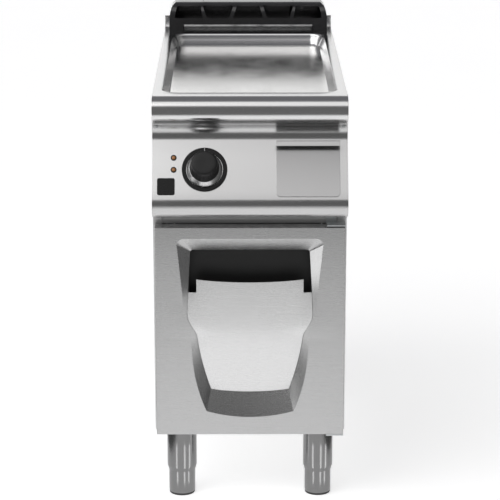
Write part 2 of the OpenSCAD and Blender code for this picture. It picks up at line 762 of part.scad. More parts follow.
module hood_side(t)
    polygon(concat(
        [[hood_y + t, top_z - (t > 0 ? 1 : 0)], [hood_y + t, top_z + foot_h + band_h - 1]],
        arc(hood_y + 30, top_z + hood_h - 30, 30 - t, 180, 90),
        [[hood_y + hood_d - t, top_z + hood_h - t],
            [hood_y + hood_d - t, top_z - (t > 0 ? 1 : 0)]]));

module hood_face(t)
    polygon(concat(
        [[-hood_w / 2 + t, top_z - (t > 0 ? 1 : 0)], [-hood_w / 2 + t, top_z + foot_h + band_h]],
        arc(-hood_w / 2 + hood_taper + 24, top_z + hood_h - 24, 24 - t, 170, 90),
        arc(hood_w / 2 - hood_taper - 24, top_z + hood_h - 24, 24 - t, 90, 10),
        [[hood_w / 2 - t, top_z + foot_h + band_h], [hood_w / 2 - t, top_z - (t > 0 ? 1 : 0)]]));

// Window edges lean alternately, so that the ribs between them slant one way and the other
window_w = (hood_w - 2 * hood_taper - 16 - (window_count - 1) * rib_w) / window_count;
module hood_window(i) {
    lean = 4 * (i % 2 == 0 ? -1 : 1);
    x0 = -hood_w / 2 + hood_taper + 8 + i * (window_w + rib_w);
    left = i == 0 ? 0 : lean;
    right = i == window_count - 1 ? 0 : lean;
    z0 = top_z + foot_h + band_h + 2;
    z1 = top_z + hood_h - 6;
    polygon([[x0 + left, z0], [x0 + window_w - right, z0], [x0 + window_w + right, z1],
        [x0 - left, z1]]);
}

module flue_hood() color("black") difference() {
    intersection() {
        along_x(hood_w) hood_side(0);
        along_y(hood_d, hood_y) hood_face(0);
    }
    intersection() {
        along_x(hood_w) hood_side(hood_t);
        along_y(hood_d, hood_y) hood_face(hood_t);
    }
    for (i = [0 : window_count - 1])
        along_y(50, hood_y - 2) hood_window(i);
    block(-hood_w / 2 + hood_foot_w, hood_w / 2 - hood_foot_w, hood_y - 1, hood_y + hood_t + 1,
        top_z - 1, top_z + foot_h);
}

// ---- Legs

module leg_sleeve(x, y) color("lightgray") difference() {
    rod([x, y, leg_h - sleeve_l], sleeve_r, sleeve_l);
    rod([x, y, leg_h - sleeve_l - 1], leg_r + run_gap, sleeve_l - 3);
}
module front_left_sleeve() leg_sleeve(-leg_x, leg_front_y);
module front_right_sleeve() leg_sleeve(leg_x, leg_front_y);
module rear_left_sleeve() leg_sleeve(-leg_x, leg_rear_y);
module rear_right_sleeve() leg_sleeve(leg_x, leg_rear_y);

module lower_leg(x, y) color("gray") {
    rod([x, y, foot_t], leg_r, leg_top_z - foot_t);
    rod([x, y, 0], leg_r - 1, foot_t);
}
module front_left_leg() lower_leg(-leg_x, leg_front_y);
module front_right_leg() lower_leg(leg_x, leg_front_y);
module rear_left_leg() lower_leg(-leg_x, leg_rear_y);
module rear_right_leg() lower_leg(leg_x, leg_rear_y);

worktop();
griddle_plate();
heating_elements();
element_clamp();
clamp_studs();
insulation_board();
insulation_tray();
drain_chute();
control_panel();
panel_screws();
dial_bezel();
thermostat();
thermostat_bulb();
lamp_bezels();
lamp_lenses();
badge_plate();
knob();
knob_skirt();
spindle();
drip_tray();
drawer_front();
drawer_guides();
side_panel_left();
side_panel_right();
back_panel();
cabinet_floor();
service_shelf();
front_rail();
terminal_block();
safety_thermostat();
cable_gland();
earth_stud();
hinge_bracket_upper();
hinge_bracket_lower();
door_catch();
door_skin();
door_liner();
door_shield();
pocket_pan();
door_bushes();
door_strike();
flue_hood();
front_left_sleeve();
front_right_sleeve();
rear_left_sleeve();
rear_right_sleeve();
front_left_leg();
front_right_leg();
rear_left_leg();
rear_right_leg();
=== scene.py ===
import json
import math

import bmesh
import bpy
import numpy as np
from mathutils import Matrix, Vector


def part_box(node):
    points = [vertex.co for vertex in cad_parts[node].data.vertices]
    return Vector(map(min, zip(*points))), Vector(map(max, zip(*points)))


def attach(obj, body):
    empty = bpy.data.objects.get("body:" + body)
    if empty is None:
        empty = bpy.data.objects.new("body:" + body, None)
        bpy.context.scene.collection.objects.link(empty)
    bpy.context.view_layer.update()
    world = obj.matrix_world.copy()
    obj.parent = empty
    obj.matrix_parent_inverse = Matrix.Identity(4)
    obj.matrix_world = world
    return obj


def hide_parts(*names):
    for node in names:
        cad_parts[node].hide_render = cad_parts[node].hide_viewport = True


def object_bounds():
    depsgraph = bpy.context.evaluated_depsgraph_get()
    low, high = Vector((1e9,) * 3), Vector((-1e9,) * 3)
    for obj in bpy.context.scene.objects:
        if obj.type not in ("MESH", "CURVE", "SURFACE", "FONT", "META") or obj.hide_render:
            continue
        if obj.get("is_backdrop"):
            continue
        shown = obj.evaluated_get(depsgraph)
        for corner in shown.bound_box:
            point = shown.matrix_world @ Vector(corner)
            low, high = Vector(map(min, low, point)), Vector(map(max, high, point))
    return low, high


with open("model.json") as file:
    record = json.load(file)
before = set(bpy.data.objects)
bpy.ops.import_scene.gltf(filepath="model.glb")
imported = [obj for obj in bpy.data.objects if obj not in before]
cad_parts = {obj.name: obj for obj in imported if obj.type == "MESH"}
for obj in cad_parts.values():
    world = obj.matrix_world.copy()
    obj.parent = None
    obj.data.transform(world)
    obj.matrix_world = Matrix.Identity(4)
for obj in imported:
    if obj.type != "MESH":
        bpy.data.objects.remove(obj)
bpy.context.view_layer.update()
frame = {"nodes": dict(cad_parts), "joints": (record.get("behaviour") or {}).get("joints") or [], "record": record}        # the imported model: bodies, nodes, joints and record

print("frame loaded")

mm = 0.001
softAngle = 32           # degrees: an edge that turns more than this stays sharp
farBehind = 0.3          # metres: a place well behind an open sheet, to turn its normals from


# Mesh object from points and faces, smooth apart from its sharp edges
def makePiece(name, verts, faces, smoothAngle=softAngle):
    mesh = bpy.data.meshes.new(name)
    mesh.from_pydata(np.asarray(verts).tolist(), [], faces)
    mesh.validate()
    mesh.polygons.foreach_set("use_smooth", np.ones(len(mesh.polygons), bool))
    mesh.set_sharp_from_angle(angle=math.radians(smoothAngle))
    piece = bpy.data.objects.new(name, mesh)
    bpy.context.scene.collection.objects.link(piece)
    return piece


# Quads between the rows of a grid of points; wrapRow closes each row into a ring, wrapColumn
# joins the last row to the first. keep is a mask of the cells to fill.
def gridFaces(rows, columns, wrapRow=False, wrapColumn=False, keep=None):
    i, j = np.meshgrid(
        np.arange(rows if wrapColumn else rows - 1),
        np.arange(columns if wrapRow else columns - 1), indexing="ij")
    i2, j2 = (i + 1) % rows, (j + 1) % columns
    quads = np.stack([i * columns + j, i * columns + j2, i2 * columns + j2,
                      i2 * columns + j], -1)
    if keep is not None:
        quads = quads[keep]
    return quads.reshape(-1, 4).tolist()


# Several patches of (points, faces) become one mesh: the points are stacked in order
def joinPatches(patches):
    verts, faces, start = [], [], 0
    for points, quads in patches:
        points = np.asarray(points, float).reshape(-1, 3)
        verts.append(points)
        faces += [[k + start for k in face] for face in quads]
        start += len(points)
    return np.concatenate(verts), faces


# Merges doubled points and turns the normals outward; an open sheet's normals are made to
# point away from a place behind it, by the area-weighted sum of their dot products
def mergeAndTurn(piece, distance=0.00002, smoothAngle=softAngle, behind=None):
    work = bmesh.new()
    work.from_mesh(piece.data)
    bmesh.ops.remove_doubles(work, verts=work.verts, dist=distance)
    bmesh.ops.dissolve_degenerate(work, edges=work.edges, dist=distance / 2)
    bmesh.ops.recalc_face_normals(work, faces=work.faces)
    if behind is not None:
        away = sum(f.calc_area() * f.normal.dot(f.calc_center_median() - Vector(behind))
                   for f in work.faces)
        if away < 0:
            bmesh.ops.reverse_faces(work, faces=work.faces)
    work.to_mesh(piece.data)
    work.free()
    piece.data.set_sharp_from_angle(angle=math.radians(smoothAngle))
    return piece


# Points on a circle: centre plus radius times cosine and sine, from one angle to another
def arcPoints(cx, cy, radius, fromDeg, toDeg, count):
    a = np.radians(np.linspace(fromDeg, toDeg, count))
    return np.stack([cx + radius * np.cos(a), cy + radius * np.sin(a)], -1)


# A (y, z) profile carried along x: point = (x, profile y, profile z)
def sweepX(profile, xs):
    xs = np.asarray(xs, float)
    grid = np.empty((len(xs), len(profile), 3))
    grid[..., 0] = xs[:, None]
    grid[..., 1:] = np.asarray(profile)[None]
    return grid


# Rounded rectangle ring: each quarter is its corner centre plus radius times (cos, sin)
def cornerRing(x0, x1, y0, y1, radius, perCorner=9):
    t = np.linspace(0, math.pi / 2, perCorner)
    qx, qy = radius * np.cos(t), radius * np.sin(t)
    return np.concatenate([
        np.stack([x1 - radius + qx, y1 - radius + qy], -1),
        np.stack([x0 + radius - qx[::-1], y1 - radius + qy[::-1]], -1),
        np.stack([x0 + radius - qx, y0 + radius - qy], -1),
        np.stack([x1 - radius + qx[::-1], y0 + radius - qy[::-1]], -1)])


# Solid of revolution: point = (radius cos a, radius sin a, height), for a (radius, height)
# profile and the angle a round the local Z of a matrix
def turned(name, profile, matrix, segments, closed=False):
    profile = np.asarray(profile, float)
    a = np.linspace(0, 2 * math.pi, segments, endpoint=False)
    grid = np.empty((len(profile), segments, 3))
    grid[..., 0] = profile[:, :1] * np.cos(a)
    grid[..., 1] = profile[:, :1] * np.sin(a)
    grid[..., 2] = profile[:, 1:]
    faces = gridFaces(len(profile), segments, wrapRow=True, wrapColumn=closed)
    piece = makePiece(name, grid.reshape(-1, 3), faces)
    piece.data.transform(matrix)
    return mergeAndTurn(piece)


# Gives a sheet its thickness: inward with offset -1, outward with 1
def thicken(piece, depth, offset=-1.0, even=True):
    m = piece.modifiers.new("wall", "SOLIDIFY")
    m.thickness = depth
    m.offset = offset
    m.use_even_offset = even


# Rounds every edge that turns more than an angle
def roundEdges(piece, width, segments, angle):
    m = piece.modifiers.new("edges", "BEVEL")
    m.width = width
    m.segments = segments
    m.limit_method = "ANGLE"
    m.angle_limit = math.radians(angle)
    m.harden_normals = True


# Hands a piece over: its look, the body it rides and the nodes that it stands for
def place(piece, body, slotName, material, *nodes):
    piece.data.materials.append(material)
    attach(piece, body)
    if nodes:
        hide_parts(*nodes)


# Shader maths: an expression on wires adds its Math nodes
class Wire:
    def __init__(self, shop, socket):
        self.shop = shop
        self.socket = socket

    def math(self, operation, a, b):
        return self.shop.node("ShaderNodeMath", {"operation": operation}, {0: a, 1: b})

    def __add__(self, other):
        return self.math("ADD", self, other)

    def __radd__(self, other):
        return self.math("ADD", other, self)

    def __sub__(self, other):
        return self.math("SUBTRACT", self, other)

    def __rsub__(self, other):
        return self.math("SUBTRACT", other, self)

    def __mul__(self, other):
        return self.math("MULTIPLY", self, other)

    def __rmul__(self, other):
        return self.math("MULTIPLY", other, self)

    def __pow__(self, other):
        return self.math("POWER", self, other)


# One tree of shader nodes, each made from its kind, its settings and its sockets
class Shop:
    def __init__(self, tree):
        self.tree = tree
        tree.nodes.clear()

    def node(self, kind, settings=None, sockets=None, output=0):
        made = self.tree.nodes.new(kind)
        for key, value in (settings or {}).items():
            if key == "stops":
                ramp = made.color_ramp
                while len(ramp.elements) > 1:
                    ramp.elements.remove(ramp.elements[-1])
                for k, (at, colour) in enumerate(value):
                    stop = ramp.elements[0] if k == 0 else ramp.elements.new(at)
                    stop.position = at
                    stop.color = (*colour, 1)
            else:
                setattr(made, key, value)
        for key, value in (sockets or {}).items():
            if isinstance(value, Wire):
                self.tree.links.new(value.socket, made.inputs[key])
            else:
                made.inputs[key].default_value = value
        return Wire(self, made.outputs[output] if made.outputs else None)

    def mixColour(self, factor, a, b):
        return self.node("ShaderNodeMix", {"data_type": "RGBA"},
                         {"Factor": factor, 6: (*a, 1) if isinstance(a, tuple) else a,
                          7: (*b, 1) if isinstance(b, tuple) else b}, output=2)

    # Noise on object coordinates, stretched by scale along each axis
    def noise(self, scale, detail=3.0, roughness=0.55, shift=(0, 0, 0)):
        coords = self.node("ShaderNodeTexCoord", output=3)
        mapped = self.node("ShaderNodeMapping", {}, {0: coords, 1: shift, 3: scale})
        return self.node("ShaderNodeTexNoise", {},
                         {"Vector": mapped, "Scale": 1.0, "Detail": detail,
                          "Roughness": roughness})


def newMaterial(name):
    material = bpy.data.materials.new(name)
    material.use_nodes = True
    return material, Shop(material.node_tree)


# Principled surface with a bump; an underscore in a fixed socket's name stands for a space
def finishMaterial(shop, colour, rough, height, bumpDepth, bumpStrength=0.3, metallic=0.0,
                   **fixed):
    bump = shop.node("ShaderNodeBump", {}, {"Strength": bumpStrength, "Distance": bumpDepth,
                                            "Height": height})
    sockets = {"Base Color": colour, "Roughness": rough, "Normal": bump, "Metallic": metallic}
    sockets.update({key.replace("_", " "): value for key, value in fixed.items()})
    shader = shop.node("ShaderNodeBsdfPrincipled", {}, sockets)
    shop.node("ShaderNodeOutputMaterial", {}, {"Surface": shader})


# Brushed sheet: fine lines along grain, broad uneven sheen and faint smears
def brushedSteel(name, tone, rough, grain="x", lineScale=2600.0, smear=0.06, tint=(1, 1, 1)):
    material, shop = newMaterial(name)
    along = 6.0          # noise cells in a metre along the grain; lineScale across it
    scale = {"x": (along, lineScale, lineScale), "y": (lineScale, along, lineScale),
             "z": (lineScale, lineScale, along)}[grain]
    lines = shop.noise(scale, detail=4.0, roughness=0.6)
    broad = shop.noise(tuple(v ** 0.45 for v in scale), detail=2.0, shift=(0.3, 0.7, 0.1))
    smears = shop.noise((11, 11, 7), detail=5.0, roughness=0.62)
    dark = tuple(tone * 0.95 * c for c in tint)
    light = tuple(min(1.0, tone * 1.04) * c for c in tint)
    colour = shop.mixColour(lines * 0.85 + broad * 0.15, dark, light)
    roughness = rough + (lines - 0.5) * 0.08 + (smears - 0.5) * smear
    finishMaterial(shop, colour, roughness, lines, metallic=1.0, bumpDepth=0.00002,
                   bumpStrength=0.12)
    return material


# Cast, moulded or dipped surface: a fine pebble with dust in the hollows
def dullSkin(name, colour, rough, pebble=700.0, depth=0.00008, coat=0.0, dust=0.04,
             shine=0.5):
    material, shop = newMaterial(name)
    grain = shop.noise((pebble,) * 3, detail=3.0)
    patches = shop.noise((14, 14, 14), detail=4.0, roughness=0.6)
    dusty = tuple(min(1.0, c + dust) for c in colour)
    mixed = shop.mixColour(patches * grain, colour, dusty)
    roughness = rough + (patches - 0.5) * 0.14 + (grain - 0.5) * 0.06
    finishMaterial(shop, mixed, roughness, grain, bumpDepth=depth, bumpStrength=0.4,
                   Coat_Weight=coat, Specular_IOR_Level=shine)
    return material


# Polished cooking plate: nearly a mirror, with scraper marks along it and warm heat marks
def polishedPlate(name):
    material, shop = newMaterial(name)
    scrapes = shop.noise((500, 3, 60), detail=4.0)
    heat = shop.noise((5, 4, 5), detail=3.0)
    smears = shop.noise((16, 9, 16), detail=5.0, roughness=0.65)
    colour = shop.mixColour(heat * 0.8, (0.86, 0.86, 0.86), (0.78, 0.765, 0.74))
    roughness = 0.13 + (smears ** 2) * 0.18 + (scrapes - 0.5) * 0.06
    finishMaterial(shop, colour, roughness, scrapes, metallic=1.0, bumpDepth=0.00004,
                   bumpStrength=0.2)
    return material


# Lamp lens: mottled amber under a clear coat
def amberLens(name):
    material, shop = newMaterial(name)
    mottled = shop.noise((900, 900, 900), detail=2.0)
    colour = shop.mixColour(mottled, (0.30, 0.12, 0.035), (0.46, 0.21, 0.07))
    finishMaterial(shop, colour, 0.16 + mottled * 0.08, mottled, bumpDepth=0.00005,
                   Coat_Weight=0.5)
    return material


materials = {
    "steel": brushedSteel("brushed_steel", 0.56, 0.23),
    # side panels: grain upright, and a lighter tone than the base steel, which is painted light
    "steelUprightPaintedLight": brushedSteel("brushed_steel_upright_painted_light", 0.72, 0.30, grain="z"),
    # worktop: a lighter tone than the base steel, which is painted light
    "steelTopPaintedLight": brushedSteel("brushed_steel_top_painted_light", 0.70, 0.19),
    # drawer front: a darker tone than the base steel, which is painted shade
    "steelDrawerPaintedShade": brushedSteel("brushed_steel_drawer_painted_shade", 0.46, 0.25),
    # door skin: a darker tone than the base steel, which is painted shade
    "steelDoorPaintedShade": brushedSteel("brushed_steel_door_painted_shade", 0.50, 0.27),
    # door shield: a lighter tone than the door skin, which is painted light
    "steelBowPaintedLight": brushedSteel("brushed_steel_bow_painted_light", 0.70, 0.27),
    "steelInner": brushedSteel("plain_inner_steel", 0.60, 0.36, grain="y", smear=0.14),
    "zinc": brushedSteel("bright_zinc", 0.62, 0.34, lineScale=300.0, tint=(0.96, 0.99, 1)),
    "element": brushedSteel("element_sheath", 0.20, 0.48, grain="y"),
    # legs: a far darker tone than the other steel, which is painted shade
    "legSteelPaintedShade": brushedSteel("leg_tube_steel_painted_shade", 0.21, 0.20, grain="z", lineScale=600.0),
    "knurled": brushedSteel("turned_aluminium", 0.70, 0.28, grain="z", lineScale=400.0),
    "copper": brushedSteel("copper_tube", 0.62, 0.30, tint=(1, 0.62, 0.42)),
    "brass": brushedSteel("brass_stud", 0.72, 0.28, tint=(1, 0.82, 0.45)),
    "plate": polishedPlate("polished_plate"),
    "enamel": dullSkin("black_enamel", (0.013, 0.013, 0.014), 0.24, pebble=420.0,
                       depth=0.00006, coat=0.6, dust=0.014),
    "plastic": dullSkin("black_moulding", (0.010, 0.010, 0.010), 0.42, dust=0.016, shine=0.3),
    "gloss": dullSkin("gloss_black", (0.004, 0.004, 0.004), 0.16, pebble=900.0,
                      depth=0.00002, dust=0.006, shine=0.2),
    "rubber": dullSkin("foot_rubber", (0.012, 0.012, 0.012), 0.62, pebble=500.0),
    # pocket pan in the door's recess: a near-black, which is painted shade
    "pocket": dullSkin("pocket_painted_shade", (0.006, 0.006, 0.006), 0.5, dust=0.01),
    "nylon": dullSkin("white_nylon", (0.72, 0.70, 0.66), 0.45, dust=0.05),
    "board": dullSkin("mineral_board", (0.60, 0.55, 0.42), 0.9, pebble=260.0, depth=0.0006,
                      dust=0.1),
    "amber": amberLens("amber_lens"),
    "white": dullSkin("white_paint", (0.80, 0.80, 0.80), 0.5),
}
slotMaterial = {
    "steel": "steel", "steel_inner": "steelInner", "plate_chrome": "plate", "zinc": "zinc",
    "element": "element", "mineral_board": "board", "black_plastic": "plastic",
    "gloss_black": "gloss", "amber_lens": "amber", "knurled_metal": "knurled",
    "copper": "copper", "brass": "brass", "white_nylon": "nylon", "black_enamel": "enamel",
    "leg_steel": "legSteelPaintedShade"}
# the side panels take the lighter copy of the steel, which is painted light
nodeMaterial = {
    "side_panel_left": "steelUprightPaintedLight", "side_panel_right": "steelUprightPaintedLight",
    # the pocket pan, down in the door's recess, takes the near-black: painted shade
    "pocket_pan": "pocket"}

for part in frame["record"]["subparts"]:
    node = frame["nodes"][part["node"]]
    chosen = nodeMaterial.get(part["node"], slotMaterial[part["material_slot"]])
    node.data.materials.clear()
    node.data.materials.append(materials[chosen])
print("materials made")


# Where things are, from the frame
topLow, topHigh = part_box("worktop")
doorLow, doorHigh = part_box("door_skin")
hoodLow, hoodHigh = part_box("flue_hood")
trayLow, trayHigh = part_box("drip_tray")
dial = [j for j in frame["joints"] if j["name"] == "dial_turn"][0]
dialAt = Vector(dial["pos_m"])

inside = 0.5 * mm        # how far the outer sheets stay within the CAD's sides and rear
halfWidth = topHigh.x - inside
rearY = topHigh.y - inside
thinner = 0.9            # share of a sheet's thickness that worktop and door are drawn with


# Worktop: one sheet with a rounded nose, a recessed well and a rear upstand
worktop = {
    "sheet": 2 * mm, "noseTop": 28 * mm, "noseUnder": 22 * mm, "noseFlat": 4 * mm,
    "slope": 40.0, "noseHeight": 59 * mm, "upstand": 27 * mm, "upstandDepth": 8 * mm,
    "rimSide": 22 * mm, "rimFront": 66 * mm, "wellLength": 715 * mm, "rimRadius": 34 * mm,
    "rimRoll": 6 * mm, "lean": 9 * mm, "footRoll": 5 * mm, "wallTop": 14 * mm,
    "overPlate": 0.4 * mm, "edge": 0.7 * mm, "perCorner": 9, "overCount": 14, "underCount": 9,
    "rollAngles": (22, 45, 67, 85)}


# Front of the worktop in (y, z): quarter round over the nose, quarter round under it and the
# straight slope down to the seam
def noseProfile(w, noseY, topZ):
    over = arcPoints(noseY + w["noseTop"], topZ - w["noseTop"], w["noseTop"], 90, 180,
                     w["overCount"])
    underZ = topZ - w["noseTop"] - w["noseFlat"]
    under = arcPoints(noseY + w["noseUnder"], underZ, w["noseUnder"], 180,
                      270 - w["slope"], w["underCount"])
    drop = under[-1][1] - (topZ - w["noseHeight"])
    back = drop / math.tan(math.radians(w["slope"]))
    return np.concatenate([over, under, [[under[-1][0] + back, topZ - w["noseHeight"]]]])


# Rings round the well: the flat top's square outline, a quarter roll over the rim, where the
# inset is roll times one minus sine and the drop roll times one minus cosine, and a wall that
# leans inward in steps of its lean. The nose and the upstand are profiles carried along x.
def buildWorktop(w):
    noseY = topLow.y
    topZ = topHigh.z - w["upstand"]
    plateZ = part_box("griddle_plate")[1].z
    skirtZ = topZ - w["noseHeight"]
    nose = noseProfile(w, noseY, topZ)
    topY0, topY1 = noseY + w["noseTop"], rearY - w["upstandDepth"]
    x1, y0 = halfWidth - w["rimSide"], noseY + w["rimFront"]
    y1 = y0 + w["wellLength"]
    radius, roll, count = w["rimRadius"], w["rimRoll"], 4 * w["perCorner"]
    # the flat top's edge stands at its own distances from the rim's corner centres
    t = np.linspace(0, math.pi / 2, w["perCorner"])
    square = []
    for sx, sy in ((1, 1), (-1, 1), (-1, -1), (1, -1)):
        c, s = (np.cos(t), np.sin(t)) if sx * sy > 0 else (np.cos(t[::-1]), np.sin(t[::-1]))
        reach = np.maximum(c, s)
        ax = halfWidth - (x1 - radius)
        ay = (topY1 - (y1 - radius)) if sy > 0 else ((y0 + radius) - topY0)
        cy = (y1 - radius) if sy > 0 else (y0 + radius)
        square.append(np.stack([sx * (x1 - radius + ax * c / reach),
                                cy + sy * ay * s / reach], -1))
    rings = [np.column_stack([np.concatenate(square), np.full(count, topZ)])]

    def addRing(inset, z):
        ring = cornerRing(-x1 - inset, x1 + inset, y0 - inset, y1 + inset, radius + inset,
                          w["perCorner"])
        rings.append(np.column_stack([ring, np.full(count, z)]))

    addRing(roll, topZ)
    for turn in np.radians(w["rollAngles"]):
        addRing(roll * (1 - math.sin(turn)), topZ - roll * (1 - math.cos(turn)))
    foot = w["footRoll"]
    for share, z in ((0.35, topZ - w["wallTop"]), (0.8, plateZ + foot),
                     (0.88, plateZ + foot * 0.4), (1.12, plateZ + w["overPlate"])):
        addRing(-w["lean"] * share, z)
    rings = np.stack(rings)
    patches = [(rings, gridFaces(len(rings), count, wrapRow=True))]
    # nose, upstand and back fold over the whole width; skirts close the two flanks
    xs = np.array([-halfWidth, halfWidth])
    rise = np.array([[topY1, topZ], [topY1, topHigh.z], [rearY, topHigh.z], [rearY, skirtZ]])
    patches.append((sweepX(nose, xs), gridFaces(2, len(nose))))
    patches.append((sweepX(rise, xs), gridFaces(2, len(rise))))
    flank = np.concatenate([nose, [[rearY, skirtZ], [rearY, topZ], [topY1, topZ]]])
    for x in (-halfWidth, halfWidth):
        patches.append((sweepX(flank, [x]), [list(range(len(flank)))]))
    verts, faces = joinPatches(patches)
    piece = mergeAndTurn(makePiece("worktop_sheet", verts, faces),
                         behind=(0, 0, skirtZ - farBehind))
    thicken(piece, w["sheet"] * thinner, even=False)
    roundEdges(piece, w["edge"], 2, 50)
    return piece


# the worktop takes the lighter copy of the steel: painted light
place(buildWorktop(worktop), "chassis", "steel", materials["steelTopPaintedLight"], "worktop")
print("worktop made")


# Control panel: a hollow under the worktop, a sloping face and a rolled lip
panel = {
    "sheet": 1.5 * mm, "cove": 26 * mm, "tilt": 30.0, "flat": 125 * mm, "lip": 29 * mm,
    "seam": 0.8 * mm, "cutSide": 3 * mm, "cutHead": 3 * mm, "cutFoot": 2 * mm,
    "backGap": 1 * mm, "edge": 0.5 * mm, "coveCount": 14, "lipCount": 18}


# Hollow, flat face, rounded lip and its return in (y, z), top to bottom: two arcs, each a
# centre plus radius times cosine and sine, with the flat face straight between them
def panelProfile(p, w):
    seamAt = noseProfile(w, topLow.y, topHigh.z - w["upstand"])[-1]
    down = math.radians(w["slope"])
    start = seamAt + p["seam"] * np.array([math.cos(down), -math.sin(down)])
    coveAt = start - p["cove"] * np.array([math.sin(down), math.cos(down)])
    cove = arcPoints(*coveAt, p["cove"], 90 - w["slope"], -p["tilt"], p["coveCount"])
    tilt = math.radians(p["tilt"])
    foot = cove[-1] - p["flat"] * np.array([math.sin(tilt), math.cos(tilt)])
    lipAt = foot + p["lip"] * np.array([math.cos(tilt), -math.sin(tilt)])
    lip = arcPoints(*lipAt, p["lip"], 180 - p["tilt"], 270, p["lipCount"])
    back = [[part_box("front_rail")[0].y - p["backGap"], lip[-1][1]]]
    return np.concatenate([cove, lip, back]), cove[-1], foot


# The profile carried along x, without the cell over the drawer, and closed by two cheeks
def buildPanel(p, w):
    profile, faceTop, faceFoot = panelProfile(p, w)
    # the flat gets two more points, so that the drawer's opening has its own rows
    faceDir = (faceTop - faceFoot) / p["flat"]
    lowZ, highZ = trayLow.z - p["cutFoot"], trayHigh.z + p["cutHead"]
    cutLow = faceFoot + faceDir * (lowZ - faceFoot[1]) / faceDir[1]
    cutHigh = faceFoot + faceDir * (highZ - faceFoot[1]) / faceDir[1]
    coveCount = p["coveCount"]
    profile = np.concatenate([profile[:coveCount], [cutHigh, cutLow], profile[coveCount:]])
    xs = np.array([-halfWidth, trayLow.x - p["cutSide"], trayHigh.x + p["cutSide"], halfWidth])
    keep = np.ones((len(xs) - 1, len(profile) - 1), bool)
    keep[1, coveCount] = False
    patches = [(sweepX(profile, xs), gridFaces(len(xs), len(profile), keep=keep))]
    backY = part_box("control_panel")[1].y
    cheek = np.concatenate([profile, [[backY, profile[-1][1]], [backY, profile[0][1]]]])
    for x in (-halfWidth, halfWidth):
        patches.append((sweepX(cheek, [x]), [list(range(len(cheek)))]))
    verts, faces = joinPatches(patches)
    piece = mergeAndTurn(makePiece("control_panel_sheet", verts, faces),
                         behind=(0, backY, profile[-1][1] + 0.05))
    thicken(piece, p["sheet"])
    roundEdges(piece, p["edge"], 2, 50)
    return piece


place(buildPanel(panel, worktop), "chassis", "steel", materials["steel"], "control_panel")
print("control panel made")


# Door: the skin with its pressing and bevels, and the bowed shield as a sheet of its own
door = {
    "sheet": 1.5 * mm, "bow": 505 * mm, "flatBow": 2.6, "headLift": 0.24, "headRun": 18 * mm,
    "crest": 390 * mm, "topHalf": 152 * mm, "waistHalf": 134 * mm, "lowHalf": 123 * mm,
    "pinch": 32 * mm, "lowCorner": 204 * mm, "lowSag": 13 * mm, "corner": 16 * mm,
    "gripTop": 549 * mm, "gripHalf": 123 * mm, "gripCorner": 5 * mm, "slotFoot": 462 * mm,
    "slotHalf": 128 * mm, "innerWaist": 131 * mm, "shieldHalf": 112 * mm,
    "shieldPinch": 30 * mm, "shieldFoot": 245 * mm, "shieldSag": 6 * mm, "tabTop": 490 * mm,
    "tabHalf": 111 * mm, "tabDip": 6 * mm, "crown": 2.5 * mm, "crownRun": 30 * mm,
    "blend": 22 * mm, "edge": 1.1 * mm, "steps": 6, "lowSteps": 16, "tabColumns": 25}


# Eased step from 0 to 1: three t squared less two t cubed
def smooth(t):
    t = np.clip(t, 0, 1)
    return t * t * (3 - 2 * t)


# Depth of the bowed sheet behind the door's face: radius minus the root of radius squared
# less height above the crest squared
def bowDepth(d, z):
    return d["bow"] - np.sqrt(d["bow"] ** 2 - (z - d["crest"]) ** 2)


# Half width of the pressing on the door's face: straight above the crest, drawn in below it
# by a power of the drop
def outerHalf(d, z):
    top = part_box("door_shield")[1].z
    climb = (z - d["crest"]) / (top - d["crest"])
    above = d["waistHalf"] + (d["topHalf"] - d["waistHalf"]) * climb
    drop = np.clip((d["crest"] - z) / (d["crest"] - d["lowCorner"]), 0, 1)
    below = d["lowHalf"] - d["pinch"] * drop ** 2.6
    return below + (above - below) * smooth((z - d["crest"]) / (2 * d["blend"]) + 0.5)


# Half width of the sheet's outline down in the pressing, the same way
def innerHalf(d, z):
    above = np.interp(z, [d["crest"], d["slotFoot"], d["gripTop"]],
                      [d["innerWaist"], d["slotHalf"], d["gripHalf"]])
    drop = np.clip((d["crest"] - z) / (d["crest"] - d["shieldFoot"]), 0, 1)
    below = d["shieldHalf"] - d["shieldPinch"] * drop ** 1.5
    return below + (above - below) * smooth((z - d["crest"]) / (2 * d["blend"]) + 0.5)


# Depth of the shield: the bowed depth, but above the crest flatter towards the middle, where
# the tenth power of the share of the half width is small
def shieldDepth(d, u, z):
    flatter = d["flatBow"] - np.sqrt(d["flatBow"] ** 2 - (z - d["crest"]) ** 2)
    share = np.where(z > d["crest"], abs(u) ** 10, 1.0)
    return bowDepth(d, z) * share + flatter * (1 - share)


# Shares of the half width at which columns stand: the free edge's own, and one at each side
def doorColumns(d):
    tab = d["tabHalf"] / d["slotHalf"]
    return np.concatenate([[-1.0], np.linspace(-tab, tab, d["tabColumns"]), [1.0]])


# Ring of points (x, z) round an outline: top edge, right side, foot and left side. A corner is
# its centre plus radius times cosine and sine, divided by the larger of the two where it is
# square, and the foot hangs by sag times one minus the square of the share of the half width
def outlineRing(half, zs, u, radius, sag, square):
    top = zs[0]
    t = np.linspace(math.pi / 2, 0, 7)[1:-1]
    reach = np.maximum(np.cos(t), np.sin(t)) if square else 1.0
    cx = half[0] - radius + radius * np.cos(t) / reach
    cz = top - radius + radius * np.sin(t) / reach
    edge = np.stack([u * (half[0] - radius), np.full(len(u), top)], -1)
    right = np.concatenate([np.stack([cx, cz], -1), np.stack([half[1:], zs[1:]], -1)])
    foot = np.stack([u[::-1] * half[-1], zs[-1] - sag * (1 - u[::-1] ** 2)], -1)[1:-1]
    left = right[::-1] * [-1, 1]
    return np.concatenate([edge, right, foot, left])


